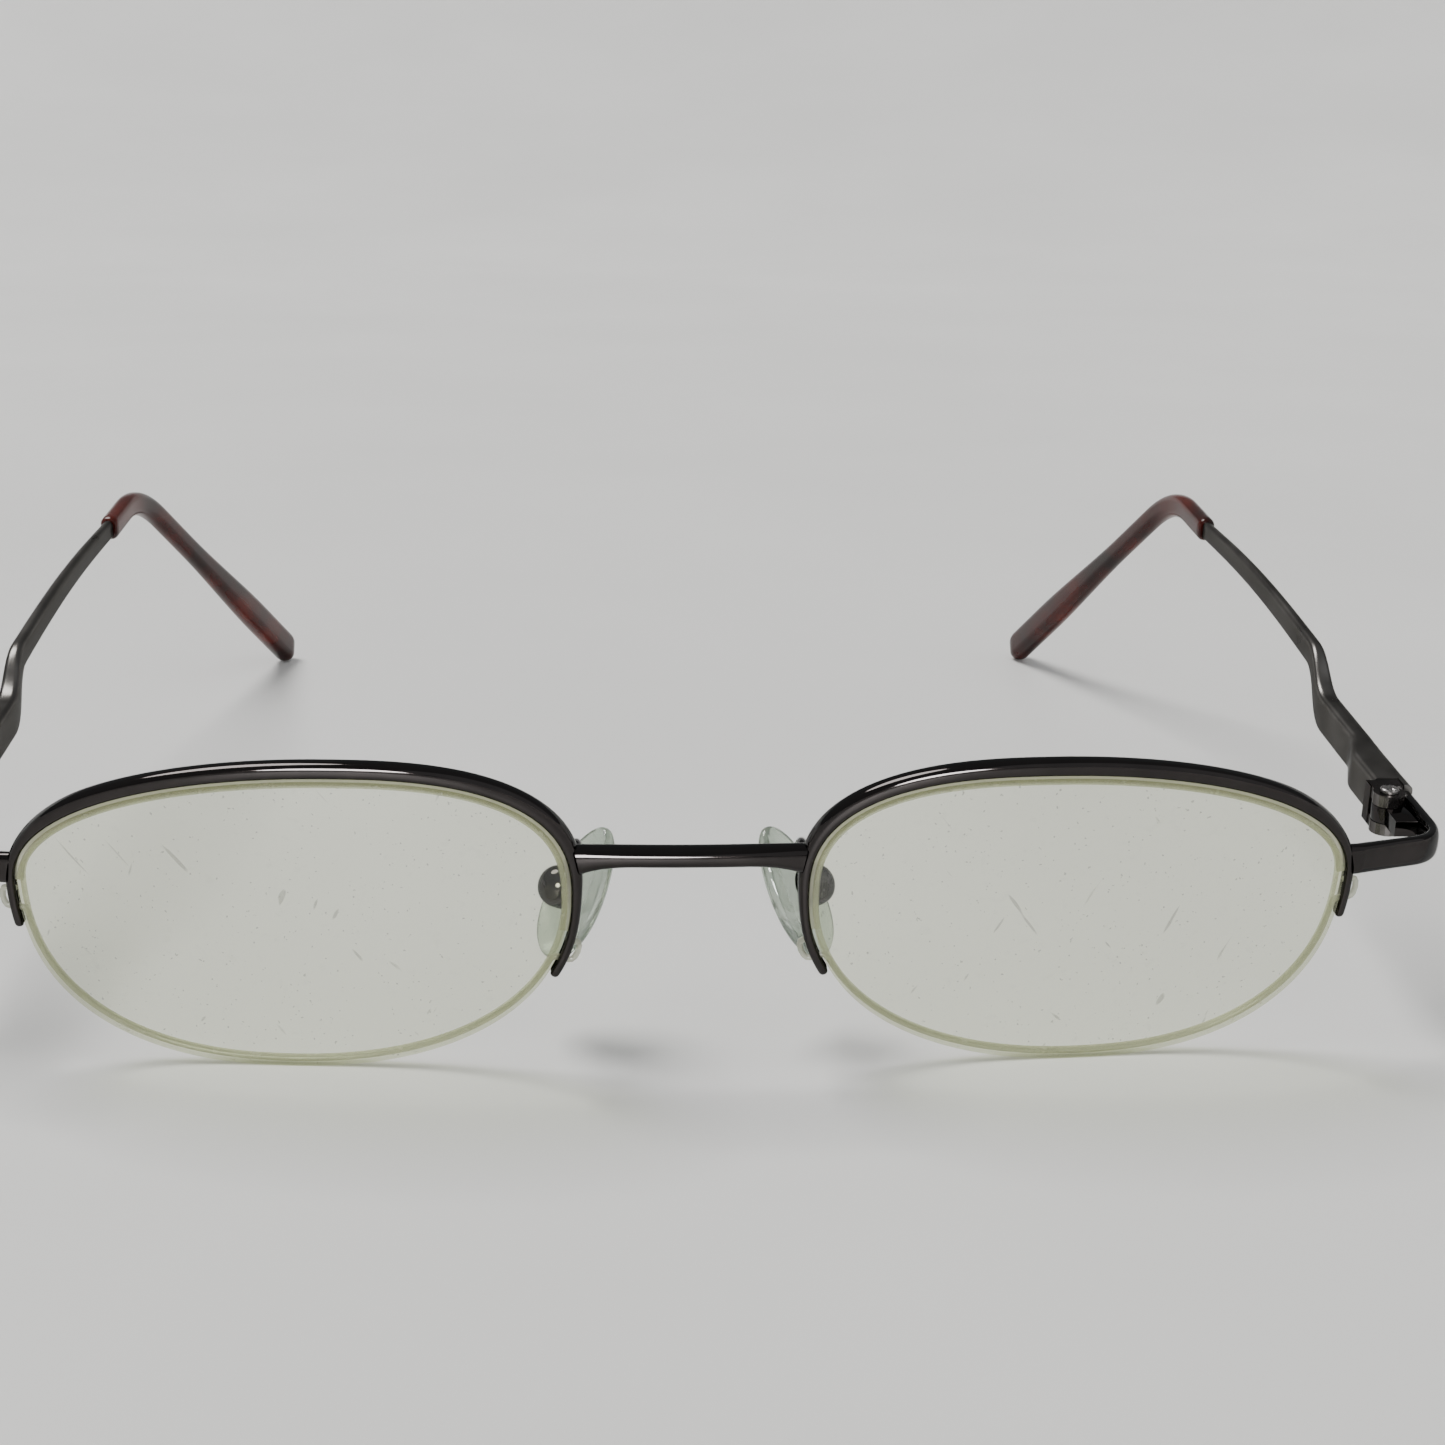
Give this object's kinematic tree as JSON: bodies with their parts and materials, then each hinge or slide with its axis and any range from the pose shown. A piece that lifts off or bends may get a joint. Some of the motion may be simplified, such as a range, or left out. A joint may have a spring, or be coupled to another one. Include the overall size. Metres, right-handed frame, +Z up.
{
  "type": "half rim eyeglasses",
  "caption": "Half rim eyeglasses: metal brow rims, lenses held by nylon cord, pads on wire arms, spring hinged folding temples with moulded tips.",
  "frame": {"origin": "middle of the bounding box at table height, standing on the lens bottoms and the temple tips", "axes": "+X to the right seen from the front, +Y back along the temples, +Z up"},
  "size_m": [0.1364, 0.1474, 0.032],
  "materials": {
    "gunmetal": "glossy dark gunmetal",
    "temple_metal": "satin dark grey",
    "steel": "bright small hardware",
    "lens": "clear, faint yellow green tint",
    "cord": "clear nylon",
    "liner": "clear nylon strip",
    "pad": "clear, slightly aged",
    "tortoise": "dark red brown tortoise"
  },
  "bodies": {
    "front": {"bridge": "gunmetal", "rim_right": "gunmetal", "lens_right": "lens", "nylon_cord_right": "cord", "rim_liner_right": "liner", "endpiece_right": "gunmetal", "hinge_tongue_right": "gunmetal", "pad_arm_right": "gunmetal", "pad_cup_right": "gunmetal", "pad_screw_right": "steel", "rim_left": "gunmetal", "lens_left": "lens", "nylon_cord_left": "cord", "rim_liner_left": "liner", "endpiece_left": "gunmetal", "hinge_tongue_left": "gunmetal", "pad_arm_left": "gunmetal", "pad_cup_left": "gunmetal", "pad_screw_left": "steel"},
    "right_hinge": {"hinge_fork_right": "steel", "hinge_screw_right": "steel", "spring_nut_right": "steel"},
    "right_temple": {"temple_right": "temple_metal", "temple_tip_right": "tortoise", "spring_stop_right": "steel", "hinge_spring_right": "steel"},
    "right_pad": {"nose_pad_right": "pad"},
    "left_hinge": {"hinge_fork_left": "steel", "hinge_screw_left": "steel", "spring_nut_left": "steel"},
    "left_temple": {"temple_left": "temple_metal", "temple_tip_left": "tortoise", "spring_stop_left": "steel", "hinge_spring_left": "steel"},
    "left_pad": {"nose_pad_left": "pad"}
  },
  "joints": [
    {"name": "right_fold", "type": "hinge", "parent": "front", "child": "right_hinge", "pos_m": [0.0652, -0.0555, 0.01891], "axis": [0, -0.0812, 0.9967], "range_deg": [0, 80]},
    {"name": "right_spring_travel", "type": "slide", "parent": "right_hinge", "child": "right_temple", "axis": [0, 0.9967, 0.0812], "range_m": [0, 0.0012], "stiffness_N_per_m": 2000, "springref_m": -0.002, "deforming": ["hinge_spring_right"]},
    {"name": "right_pad_rock", "type": "hinge", "parent": "front", "child": "right_pad", "pos_m": [0.01173, -0.06187, 0.01449], "axis": [0.5299, 0.8453, 0.0688], "range_deg": [-8, 8]},
    {"name": "left_fold", "type": "hinge", "parent": "front", "child": "left_hinge", "pos_m": [-0.0652, -0.0555, 0.01891], "axis": [0, 0.0812, -0.9967], "range_deg": [0, 88]},
    {"name": "left_spring_travel", "type": "slide", "parent": "left_hinge", "child": "left_temple", "axis": [0, 0.9967, 0.0812], "range_m": [0, 0.0012], "stiffness_N_per_m": 2000, "springref_m": -0.002, "deforming": ["hinge_spring_left"]},
    {"name": "left_pad_rock", "type": "hinge", "parent": "front", "child": "left_pad", "pos_m": [-0.01173, -0.06187, 0.01449], "axis": [-0.5299, 0.8453, 0.0688], "range_deg": [-8, 8]}
  ]
}
